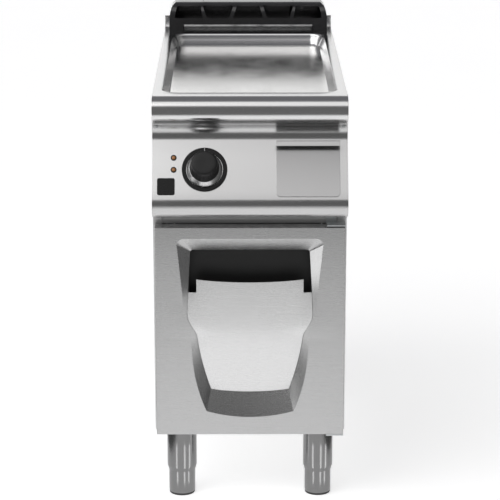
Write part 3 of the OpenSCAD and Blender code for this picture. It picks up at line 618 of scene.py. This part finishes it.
# Skin: rings from the door's back edge over its face and the pressing's rim to the sheet's
# outline, which lies at the bowed depth. Shield: point = (share of the half width, depth of
# the shield, height), with its foot hanging and its free edge dipping by one minus the share
# squared.
def buildDoor(d):
    face = doorLow.y
    u = doorColumns(d)
    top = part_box("door_shield")[1].z
    step = np.linspace(0, 1, d["steps"] + 1)[1:]
    lowStep = np.linspace(0, 1, d["lowSteps"] + 1)[1:]

    def levels(head, foot):
        return np.concatenate([
            [head, head - d["corner"]],
            head - d["corner"] + (d["slotFoot"] - head + d["corner"]) * step,
            d["slotFoot"] + (d["crest"] - d["slotFoot"]) * step,
            d["crest"] + (foot - d["crest"]) * lowStep])

    outerZ, innerZ = levels(top, d["lowCorner"]), levels(d["gripTop"], d["shieldFoot"])
    innerZ[1] = d["gripTop"] - d["gripCorner"]
    outerH, innerH = outerHalf(d, outerZ), innerHalf(d, innerZ)
    rim = outlineRing(outerH, outerZ, u, d["corner"], d["lowSag"], False)
    inner = outlineRing(innerH, innerZ, u, d["gripCorner"], d["shieldSag"], False)
    frameZ = outerZ.copy()
    frameZ[0], frameZ[-1] = doorHigh.z, doorLow.z
    border = outlineRing(np.full(len(frameZ), doorHigh.x), frameZ, u,
                         doorHigh.z - outerZ[1], 0.0, True)

    def at(ring, y):
        return np.stack([ring[:, 0], np.broadcast_to(y, len(ring)), ring[:, 1]], -1)

    crown = d["crown"] * smooth((d["crest"] - inner[:, 1]) / d["crownRun"])
    # the head of the pressing slopes more gently than its sides
    lift = 1 - d["headLift"] * smooth((inner[:, 1] - d["gripTop"]) / d["headRun"] + 1)
    depth = bowDepth(d, inner[:, 1]) * lift + crown
    rings = np.stack([at(border, doorHigh.y), at(border, face), at(rim, face),
                      at(inner, face + depth)])
    skin = [(rings, gridFaces(len(rings), rings.shape[1], wrapRow=True))]

    # the shield: rows of the same levels from the slots' feet down to the bowed foot
    first = int(np.argmin(abs(innerZ - d["slotFoot"])))
    rows, halves = innerZ[first:], innerH[first:]
    share = np.linspace(0, 1, len(rows))[:, None] ** 3
    z = rows[:, None] - d["shieldSag"] * (1 - u ** 2) * share
    x = halves[:, None] * u
    swell = d["crown"] * smooth((d["crest"] - z) / d["crownRun"]) * abs(u) ** 6
    y = face + shieldDepth(d, u, z) + swell
    shield = [(np.stack([x, y, z], -1), gridFaces(len(rows), len(u)))]
    # its free edge stands up between the slots and dips in the middle
    v = np.linspace(0, 1, d["steps"] + 1)[:, None]
    ut = u[1:-1] / u[-2]
    z = d["slotFoot"] + v * (d["tabTop"] - d["tabDip"] * (1 - ut ** 2) - d["slotFoot"])
    x = np.broadcast_to(d["tabHalf"] * ut, z.shape)
    depth = shieldDepth(d, ut * d["tabHalf"] / d["slotHalf"], z)
    shield.append((np.stack([x, face + depth, z], -1), gridFaces(len(v), len(ut))))
    made = []
    for name, patches in (("door_front", skin), ("door_bow", shield)):
        verts, faces = joinPatches(patches)
        piece = mergeAndTurn(makePiece(name, verts, faces), 0.0001, 28,
                             behind=(0, doorHigh.y + 0.5, (doorLow.z + doorHigh.z) / 2))
        thicken(piece, d["sheet"] * thinner)
        roundEdges(piece, d["edge"], 3, 14)
        made.append(piece)
    return made


doorFront, doorBow = buildDoor(door)
# the door's skin takes the darker steel (painted shade), its shield the lighter steel (painted
# light)
place(doorFront, "door", "steel", materials["steelDoorPaintedShade"], "door_skin")
place(doorBow, "door", "steel", materials["steelBowPaintedLight"], "door_shield")
print("door made")


# Flue hood: a casting with slanted ribs between five windows
hood = {
    "wall": 5 * mm, "thin": 0.8, "lower": 0.8 * mm, "foot": 17 * mm, "band": 15 * mm,
    "archFrom": 37.2 * mm, "arch": 30 * mm, "archAngles": (0, 18, 36, 53, 72, 90),
    "windows": 5, "rib": 9 * mm, "lean": 5 * mm, "middleHalf": 11 * mm, "taper": 9 * mm,
    "shoulder": 7 * mm, "shoulderFrom": 0.7, "margin": 13 * mm, "edge": 3.2 * mm}


# The casting's skin: rows climb the front and go over the arch to the back, columns cross
# it. Half width shrinks with a power of the height above the band, and again by a square near
# the top. A window's side leans one way at its foot and the other at its head, in a straight
# line of the height between them.
def buildHood(h):
    base = hoodLow.z
    height = hoodHigh.z - base - h["lower"]
    turns = np.radians(h["archAngles"])
    z = np.concatenate([[0, h["foot"], h["foot"] + h["band"]],
                        h["archFrom"] + h["arch"] * np.sin(turns),
                        [height, h["foot"], 0]])
    y = np.concatenate([[0, 0, 0], h["arch"] * (1 - np.cos(turns)),
                        [hoodHigh.y - hoodLow.y] * 3]) + hoodLow.y
    s = np.clip((z - h["foot"] - h["band"]) / (height - h["foot"] - h["band"]), 0, 1)
    atShoulder = np.clip((s - h["shoulderFrom"]) / (1 - h["shoulderFrom"]), 0, 1)
    half = hoodHigh.x - h["taper"] * s ** 1.6 - h["shoulder"] * atShoulder ** 2
    w = (2 * hoodHigh.x - 2 * h["margin"] - (h["windows"] - 1) * h["rib"]) / h["windows"]
    starts = -hoodHigh.x + h["margin"] + np.arange(h["windows"]) * (w + h["rib"])
    leans = h["lean"] * np.where(np.arange(h["windows"]) % 2 == 0, -1, 1)
    bandRow, archRow = 2, 6          # the windows lie between these rows
    slant = 1 - 2 * np.clip((z - z[bandRow]) / (z[archRow] - z[bandRow]), 0, 1)
    columns = [-half]
    for k, (start, lean) in enumerate(zip(starts, leans)):
        leftLean = 0 if k == 0 else lean
        rightLean = 0 if k == h["windows"] - 1 else lean
        fit = half / hoodHigh.x if k in (0, h["windows"] - 1) else 1.0
        left = (start + leftLean * slant) * fit
        right = (start + w - rightLean * slant) * fit
        middle = np.full(len(z), start + w / 2)
        columns += [left, middle - h["middleHalf"], middle + h["middleHalf"], right]
    columns.append(half)
    xs = np.stack(columns, -1)
    grid = np.stack([xs, np.repeat(y[:, None], xs.shape[1], 1),
                     np.repeat((z + base)[:, None], xs.shape[1], 1)], -1)
    keep = np.ones((len(z) - 1, xs.shape[1] - 1), bool)
    for k in range(h["windows"]):
        keep[bandRow:archRow, 1 + 4 * k:4 + 4 * k] = False
    # open between the feet, at the front and at the rear
    keep[0, 2:-2] = False
    keep[-1, 2:-2] = False
    patches = [(grid, gridFaces(len(z), xs.shape[1], keep=keep))]
    front = grid[:-3]
    rear = front.copy()
    rear[..., 1] = hoodHigh.y
    for side in (0, -1):
        wall = np.stack([front[:, side], rear[:, side]], 1)
        patches.append((wall, gridFaces(len(wall), 2)))
    verts, faces = joinPatches(patches)
    piece = mergeAndTurn(makePiece("hood_casting", verts, faces), 0.0001, 40,
                         behind=(0, hoodHigh.y - 20 * mm, base + 30 * mm))
    thicken(piece, h["wall"] * h["thin"], even=False)
    roundEdges(piece, h["edge"], 3, 35)
    return piece


place(buildHood(hood), "hood", "black_enamel", materials["enamel"], "flue_hood")
print("hood made")


# The sloping face: its outward direction, the direction up it and the turn to both
faceOut = -Vector(dial["axis"]).normalized()
faceUp = faceOut.cross(Vector((1, 0, 0)))
faceTurn = Matrix((Vector((1, 0, 0)), faceUp, faceOut)).transposed().to_4x4()


# Matrix whose local Z leaves the face at a point and whose local Y runs up the slope
def onFace(point):
    return Matrix.Translation(Vector(point)) @ faceTurn


# Dial: knob, skirt and scale ring as (radius, height) over the face, in millimetres where a
# list of points gives them
dialPlace = onFace(dialAt)
knob = {
    "foot": 14 * mm, "base": 31 * mm, "cap": 27 * mm, "height": 48 * mm, "flutes": 28,
    "fluteDepth": 0.35 * mm, "perFlute": 6}
dialRings = {
    "segments": 96,
    "skirt": [(3.3, 1.2), (35.9, 1.0), (36.5, 1.5), (36.4, 2.4), (35.8, 3.0), (31.6, 12.6),
              (31.0, 13.4), (30.2, 13.8), (3.3, 13.8)],
    "scale": [(37.4, 0.1), (37.5, 2.3), (38.2, 3.0), (45.4, 3.0), (46.2, 2.4), (46.5, 1.6),
              (46.5, 0.1)]}
tick = {
    "halfX": 0.6 * mm, "halfY": 2.6 * mm, "radius": 0.5 * mm, "height": 0.15 * mm,
    "edge": 0.05 * mm, "from": 41.6 * mm, "over": 2.95 * mm}


# Knob: a turned profile whose wall is cut by shallow flutes: radius less flute depth times
# one minus the cosine of the number of flutes times the angle
def buildKnob(k):
    profile = np.array([
        (0, k["height"] - 0.5 * mm), (12 * mm, k["height"] - 0.3 * mm),
        (21 * mm, k["height"]), (24 * mm, k["height"] - 0.5 * mm),
        (26 * mm, k["height"] - 2 * mm), (k["cap"], k["height"] - 4.5 * mm),
        (27.6 * mm, 38 * mm), (28.6 * mm, 30 * mm), (29.7 * mm, 22 * mm),
        (k["base"] - 0.4 * mm, k["foot"] + 1.2 * mm), (k["base"] - 0.6 * mm, k["foot"]),
        (0, k["foot"])])
    a = np.linspace(0, 2 * math.pi, k["flutes"] * k["perFlute"], endpoint=False)
    fluted = np.array([0, 0, 0, 0, 0, 0.4, 1, 1, 1, 0.6, 0, 0])
    r = profile[:, :1] - k["fluteDepth"] * fluted[:, None] * (1 - np.cos(k["flutes"] * a))
    z = np.broadcast_to(profile[:, 1:], r.shape)
    grid = np.stack([r * np.cos(a), r * np.sin(a), z], -1)
    faces = gridFaces(len(profile), len(a), wrapRow=True)
    piece = makePiece("knob_moulding", grid.reshape(-1, 3), faces)
    piece.data.transform(dialPlace)
    return mergeAndTurn(piece, smoothAngle=38)


place(buildKnob(knob), "dial", "black_plastic", materials["plastic"], "knob")
skirt = turned("knob_skirt_ring", np.array(dialRings["skirt"]) * mm, dialPlace,
               dialRings["segments"], closed=True)
place(skirt, "dial", "knurled_metal", materials["knurled"], "knob_skirt")
scaleRing = turned("dial_ring", np.array(dialRings["scale"]) * mm, dialPlace,
                   dialRings["segments"], closed=True)
place(scaleRing, "chassis", "black_plastic", materials["gloss"], "dial_bezel")


# Raised plate with rounded corners: rings that climb the edge and close over the top
def roundedPlate(name, p, matrix):
    rings, edge, height = [], p["edge"], p["height"]
    for inset, z in ((0, 0), (0, height - edge), (edge * 0.3, height - edge * 0.3),
                     (edge, height)):
        halfX, halfY = p["halfX"] - inset, p["halfY"] - inset
        ring = cornerRing(-halfX, halfX, -halfY, halfY, p["radius"] - inset, perCorner=7)
        rings.append(np.column_stack([ring, np.full(len(ring), z)]))
    count = len(rings[0])
    faces = gridFaces(len(rings), count, wrapRow=True)
    faces += [list(range(3 * count, 4 * count)), list(range(count))[::-1]]
    piece = makePiece(name, np.concatenate(rings), faces)
    piece.data.transform(matrix)
    return mergeAndTurn(piece, smoothAngle=15)


tickPlace = dialPlace @ Matrix.Translation((0, tick["from"], tick["over"]))
place(roundedPlate("dial_mark", tick, tickPlace), "chassis", "white_nylon", materials["white"])

# Lamps, one above the other, in millimetres as the dial's rings are, and the bare badge
lamp = {
    "lens": [(0, 3.0), (1.6, 2.85), (2.9, 2.4), (3.7, 1.7), (4.0, 0.8), (4.0, 0.5), (0, 0.5)],
    "rim": [(3.9, 0.2), (4.1, 1.6), (4.6, 2.0), (5.6, 1.9), (6.0, 1.3), (6.0, 0.0)],
    "segments": 32, "rise": 12.5 * mm, "halfPitch": 12.75 * mm}
badge = {
    "halfX": 18 * mm, "halfY": 18 * mm, "radius": 4 * mm, "height": 1.2 * mm,
    "edge": 0.5 * mm, "behind": 0.6 * mm}

lampLow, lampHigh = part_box("lamp_bezels")
lampAt = ((lampLow.x + lampHigh.x) / 2, dialAt.y, dialAt.z)
for label, side in (("upper", 1), ("lower", -1)):
    up = lamp["rise"] + side * lamp["halfPitch"]
    spot = onFace(lampAt) @ Matrix.Translation((0, up, 0))
    place(turned("lamp_lens_" + label, np.array(lamp["lens"]) * mm, spot, lamp["segments"]),
          "chassis", "amber_lens", materials["amber"], "lamp_lenses")
    place(turned("lamp_rim_" + label, np.array(lamp["rim"]) * mm, spot, lamp["segments"],
                 closed=True), "chassis", "black_plastic", materials["plastic"], "lamp_bezels")
badgeLow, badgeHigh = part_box("badge_plate")
badgeAt = (badgeLow + badgeHigh) / 2 - faceOut * badge["behind"]
place(roundedPlate("badge_blank", badge, onFace(badgeAt)), "chassis", "gloss_black",
      materials["gloss"], "badge_plate")
print("dial made")


# Drip drawer's front: a folded sheet with its handle turned out and down
drawer = {
    "width": 130 * mm, "height": 116 * mm, "sheet": 1.5 * mm, "corner": 9 * mm,
    "out": 20.5 * mm, "drop": 12 * mm, "bend": 2.5 * mm, "headGap": 2 * mm,
    "over": 0.5 * mm, "edge": 0.35 * mm, "cornerSteps": 7, "bendSteps": 6, "columns": 9}


# Path (up the slope, out of the face) of the sheet's outer side; its half width follows a
# quarter circle at the lower corners
def buildDrawer(d):
    low, high, r = -d["height"] / 2, d["height"] / 2 - d["headGap"], d["bend"]
    t = np.linspace(0, math.pi / 2, d["cornerSteps"])
    plate = np.stack([low + d["corner"] * (1 - np.cos(t)), np.full(len(t), d["over"])], -1)
    bendIn = arcPoints(high - r, d["over"] + r, r, -90, 0, d["bendSteps"])
    bendOut = arcPoints(high - r, d["out"] - r, r, 0, 90, d["bendSteps"])
    path = np.concatenate([plate, bendIn, bendOut, [[high - d["drop"], d["out"]]]])
    half = np.full(len(path), d["width"] / 2)
    half[:len(t)] += d["corner"] * (np.sin(t) - 1)
    grid = np.empty((len(path), d["columns"], 3))
    grid[..., 0] = half[:, None] * np.linspace(-1, 1, d["columns"])
    grid[..., 1:] = path[:, None]
    piece = makePiece("drawer_sheet", grid.reshape(-1, 3), gridFaces(len(path), d["columns"]))
    frontLow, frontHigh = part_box("drawer_front")
    centre = Vector(((frontLow.x + frontHigh.x) / 2, dialAt.y, dialAt.z))
    piece.data.transform(onFace(centre))
    mergeAndTurn(piece, behind=centre - faceOut * farBehind)
    thicken(piece, d["sheet"], 1.0)
    roundEdges(piece, d["edge"], 2, 50)
    return piece


# the drawer front takes the darker copy of the steel: painted shade
place(buildDrawer(drawer), "drawer", "steel", materials["steelDrawerPaintedShade"], "drawer_front")
print("drawer made")


# Legs, in millimetres: a sleeve with a drawn-in foot, a tube and a rubber pad
leg = {
    "sleeve": 31.5, "tube": 28.0, "pad": 27.2, "sleeveFoot": 54.0, "sleeveTop": 149.8,
    "tubeTop": 142, "padTop": 4.6, "segments": 72}


# Three (radius, height) profiles turned round one upright axis; the tube and its pad ride on
# the leg, the sleeve on the chassis
def buildLeg(corner, body):
    low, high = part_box(corner + "_leg")
    spot = Matrix.Translation(((low.x + high.x) / 2, (low.y + high.y) / 2, 0))
    s, t, p = leg["sleeve"], leg["tube"], leg["pad"]
    z0, z1, z2, zp = leg["sleeveFoot"], leg["sleeveTop"], leg["tubeTop"], leg["padTop"]
    sleeve = [(t + 0.2, z0 + 2), (t + 0.5, z0), (t + 1.0, z0 + 0.3), (s - 0.6, z0 + 7.5),
              (s - 0.1, z0 + 9.5), (s, z0 + 12), (s, z1), (t + 0.2, z1)]
    tube = [(0, z2), (t, z2), (t, 11), (t, 8), (t - 0.3, 6), (t - 1.0, zp), (0, zp)]
    pad = [(0, zp), (t - 0.9, zp), (p, 3.6), (p - 0.1, 1.4), (p - 0.8, 0.3), (p - 2, 0), (0, 0)]
    count = leg["segments"]
    # sleeve and tube take the darkened steel: painted shade
    place(turned(corner + "_sleeve_tube", np.array(sleeve) * mm, spot, count, closed=True),
          "chassis", "leg_steel", materials["legSteelPaintedShade"], corner + "_sleeve")
    place(turned(corner + "_leg_tube", np.array(tube) * mm, spot, count), body, "leg_steel",
          materials["legSteelPaintedShade"], corner + "_leg")
    place(turned(corner + "_leg_pad", np.array(pad) * mm, spot, count), body, "black_plastic",
          materials["rubber"], corner + "_leg")


for corner in ("front_left", "front_right", "rear_left", "rear_right"):
    buildLeg(corner, "leg_" + corner)
print("legs made")


# Floor, light and camera, in metres and degrees. The y of the view, of the front flag and of
# the front cloth counts from the worktop's front, the others from the frame's middle.
view = {"lens": 157.3, "sensor": 36.0, "x": -0.0234, "y": -4.3361, "z": 1.7363,
        "down": 15.269, "turn": -0.3087}
keyLight = {"at": (-1.6, -2.2, 3.0), "aim": (0, 0, 0.5), "size": (2.2, 1.6), "power": 16}
justOver = 0.001         # how far the boards stand or lie above the floor
frontFlag = {"half": 3, "y": -1.0, "low": 0.40, "high": 1.42, "tone": 0.14}
frontCloth = {"half": 1.5, "from": -3.2, "to": -1.2, "tone": 0.66}
sideFlag = {"x": 1.1, "from": -1.9, "to": 0.5}
sideCloth = {"inner": 0.42, "outer": 1.08, "from": -1.6, "to": 0.3, "tone": 0.16}
tubeLight = {"away": 0.095, "top": 0.09, "azimuths": (-34, 19, 53), "halfWide": 4, "tone": 3.2}


# Flat ground with a little light of its own, so that it stays pale far away
def addFloor():
    size = 60.0
    floor = makePiece("floor", [(-size, -size, 0), (size, -size, 0), (size, size, 0),
                                (-size, size, 0)], [[0, 1, 2, 3]])
    material, shop = newMaterial("pale_floor")
    cloud = shop.noise((0.8, 0.8, 0.8), detail=2.0)
    colour = shop.mixColour(cloud, (0.90, 0.90, 0.90), (0.93, 0.93, 0.93))
    shader = shop.node("ShaderNodeBsdfPrincipled", {}, {
        "Base Color": colour, "Roughness": 0.9, "Specular IOR Level": 0.0,
        "Emission Color": (1, 1, 1, 1), "Emission Strength": 0.56})
    shop.node("ShaderNodeOutputMaterial", {}, {"Surface": shader})
    floor.data.materials.append(material)
    floor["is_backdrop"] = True


# A glowing sheet seen only in reflections: a low tone is a studio's black flag, a high one
# a light
def addFlag(name, corners, tone):
    flag = makePiece(name, corners, [[0, 1, 2, 3]])
    material, shop = newMaterial(name + "_cloth")
    weave = shop.noise((30, 30, 30), detail=2.0)
    shade = shop.mixColour(weave, (tone, tone, tone), (tone * 1.1,) * 3)
    glow = shop.node("ShaderNodeEmission", {}, {"Color": shade, "Strength": 1.0})
    shop.node("ShaderNodeOutputMaterial", {}, {"Surface": glow})
    flag.data.materials.append(material)
    flag.visible_camera = False
    flag.visible_diffuse = False
    flag.visible_shadow = False
    flag.visible_transmission = False
    flag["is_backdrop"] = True


# Upright board from one (x, y) foot to another, between two heights
def addBoard(name, start, end, low, high, tone):
    addFlag(name, [(*start, low), (*end, low), (*end, high), (*start, high)], tone)


# Cloth on the floor between two x and two y
def addCloth(name, x0, x1, y0, y1, tone):
    addFlag(name, [(x0, y0, justOver), (x1, y0, justOver), (x1, y1, justOver),
                   (x0, y1, justOver)], tone)


# Studio surround: its brightness follows the direction's height over the horizon, from the
# back over the zenith to the front, and falls off from left to right
def addWorld():
    world = bpy.data.worlds.new("studio")
    bpy.context.scene.world = world
    world.use_nodes = True
    shop = Shop(world.node_tree)
    direction = shop.node("ShaderNodeTexCoord", output=0)
    parts = shop.node("ShaderNodeSeparateXYZ", {}, {0: direction})
    y = Wire(shop, parts.socket.node.outputs[1])
    z = Wire(shop, parts.socket.node.outputs[2])
    x = Wire(shop, parts.socket.node.outputs[0])
    turn = shop.node("ShaderNodeMath", {"operation": "ARCTAN2"}, {0: z, 1: y})
    share = turn * (1 / math.pi)
    bands = shop.node("ShaderNodeValToRGB", {"stops": [
        (0.0, (1.0, 1.0, 1.0)), (0.13, (1.05, 1.05, 1.05)), (0.17, (0.20, 0.20, 0.21)),
        (0.50, (0.17, 0.17, 0.18)), (0.56, (0.24, 0.24, 0.25)), (0.60, (1.12, 1.11, 1.11)),
        (0.77, (1.12, 1.11, 1.11)), (0.81, (0.16, 0.16, 0.17)),
        (1.0, (0.12, 0.12, 0.13))]}, {0: share})
    sideways = shop.node("ShaderNodeClamp", {}, {0: 1.0 - 0.9 * x, 1: 0.3, 2: 1.5})
    glow = shop.node("ShaderNodeBackground", {}, {"Color": bands, "Strength": sideways})
    shop.node("ShaderNodeOutputWorld", {}, {"Surface": glow})


# Camera before the front, looking a little down
def addCamera():
    data = bpy.data.cameras.new("view")
    data.lens = view["lens"]
    data.sensor_width = view["sensor"]
    camera = bpy.data.objects.new("view", data)
    camera.location = (view["x"], topLow.y + view["y"], view["z"])
    camera.rotation_euler = (math.radians(90 - view["down"]), 0, math.radians(view["turn"]))
    bpy.context.scene.collection.objects.link(camera)
    bpy.context.scene.camera = camera


# Rectangular light at a place, turned towards its aim
def addSoftbox(name, box):
    data = bpy.data.lights.new(name, "AREA")
    data.shape = "RECTANGLE"
    data.size, data.size_y = box["size"]
    data.energy = box["power"]
    light = bpy.data.objects.new(name, data)
    light.location = box["at"]
    aim = Vector(box["aim"]) - Vector(box["at"])
    light.rotation_euler = aim.to_track_quat("-Z", "Y").to_euler()
    bpy.context.scene.collection.objects.link(light)


addFloor()
addWorld()
addCamera()
addSoftbox("key", keyLight)
frontY = topLow.y
addBoard("front_flag", (-frontFlag["half"], frontY + frontFlag["y"]),
         (frontFlag["half"], frontY + frontFlag["y"]), frontFlag["low"], frontFlag["high"],
         frontFlag["tone"])
# Boards beside the unit: dark on the right, on the left a light one over a dark one
for name, sx, low, high, tone in (("right_flag", 1, justOver, 1.5, 0.16),
                                  ("left_flag", -1, justOver, 0.17, 0.18),
                                  ("left_light", -1, 0.22, 0.55, 1.8)):
    x = sx * sideFlag["x"]
    addBoard(name, (x, sideFlag["from"]), (x, sideFlag["to"]), low, high, tone)
for name, sx in (("left_cloth", -1), ("right_cloth", 1)):
    addCloth(name, sx * sideCloth["inner"], sx * sideCloth["outer"], sideCloth["from"],
             sideCloth["to"], sideCloth["tone"])
addCloth("front_cloth", -frontCloth["half"], frontCloth["half"], frontY + frontCloth["from"],
         frontY + frontCloth["to"], frontCloth["tone"])
# Thin upright tubes of light before each front leg
for side in ("left", "right"):
    legLow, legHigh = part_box("front_" + side + "_leg")
    cx, cy = (legLow.x + legHigh.x) / 2, (legLow.y + legHigh.y) / 2
    for k, azimuth in enumerate(tubeLight["azimuths"]):
        start, end = [(cx + tubeLight["away"] * math.sin(math.radians(azimuth + turn)),
                       cy - tubeLight["away"] * math.cos(math.radians(azimuth + turn)))
                      for turn in (-tubeLight["halfWide"], tubeLight["halfWide"])]
        addBoard("tube_%s_%d" % (side, k), start, end, justOver, tubeLight["top"],
                 tubeLight["tone"])
bpy.context.scene.view_settings.view_transform = "Standard"
print("stage made")

low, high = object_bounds()
